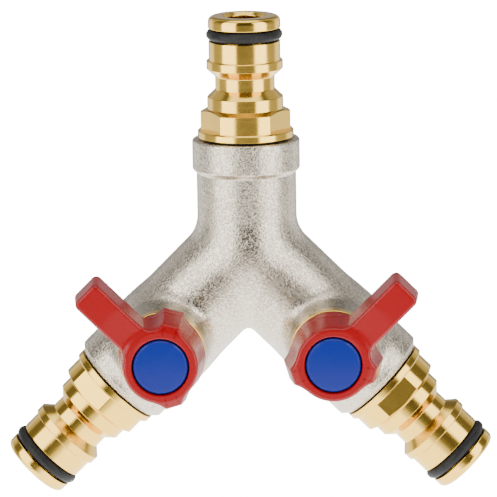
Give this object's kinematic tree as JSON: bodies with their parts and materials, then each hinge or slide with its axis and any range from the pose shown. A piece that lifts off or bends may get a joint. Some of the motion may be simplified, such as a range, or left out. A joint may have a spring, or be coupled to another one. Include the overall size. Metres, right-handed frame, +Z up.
{
  "type": "hose splitter",
  "caption": "Inverted-Y metal hose splitter with quick-connect nipples on its inlet and outlets and a lever ball valve in each outlet arm.",
  "frame": {"origin": "middle of the latch ridge of the inlet nipple, on the inlet's axis", "axes": "+Z up along the inlet, out of its mouth; +X towards the right-hand outlet as seen from the handles; the handles face -Y"},
  "size_m": [0.109, 0.0466, 0.1084],
  "materials": {
    "nickel_body": "shot-blasted forged brass with dull nickel plating",
    "brass": "bright turned brass",
    "rubber": "soft black rubber",
    "seat_plastic": "white sealing plastic",
    "chrome_ball": "polished chromed ball",
    "red_plastic": "satin moulded red plastic",
    "blue_plastic": "satin moulded blue plastic",
    "screw_steel": "plain steel"
  },
  "bodies": {
    "fitting": {"valve_body": "nickel_body", "inlet_nipple": "brass", "inlet_nipple_o_ring": "rubber", "inlet_gasket": "rubber", "left_outlet_nipple": "brass", "left_nipple_o_ring": "rubber", "left_outlet_gasket": "rubber", "left_inner_seat": "seat_plastic", "left_outer_seat": "seat_plastic", "left_thrust_washer": "seat_plastic", "left_gland": "brass", "right_outlet_nipple": "brass", "right_nipple_o_ring": "rubber", "right_outlet_gasket": "rubber", "right_inner_seat": "seat_plastic", "right_outer_seat": "seat_plastic", "right_thrust_washer": "seat_plastic", "right_gland": "brass"},
    "left_valve": {"left_handle": "red_plastic", "left_handle_cap": "blue_plastic", "left_handle_screw": "screw_steel", "left_stem": "brass", "left_stem_o_rings": "rubber", "left_ball": "chrome_ball"},
    "right_valve": {"right_handle": "red_plastic", "right_handle_cap": "blue_plastic", "right_handle_screw": "screw_steel", "right_stem": "brass", "right_stem_o_rings": "rubber", "right_ball": "chrome_ball"}
  },
  "joints": [
    {"name": "left_valve_turn", "type": "hinge", "parent": "fitting", "child": "left_valve", "pos_m": [-0.01906, 0, -0.06194], "axis": [0, -1, 0], "range_deg": [0, 90]},
    {"name": "right_valve_turn", "type": "hinge", "parent": "fitting", "child": "right_valve", "pos_m": [0.01906, 0, -0.06194], "axis": [0, -1, 0], "range_deg": [0, 90]}
  ]
}
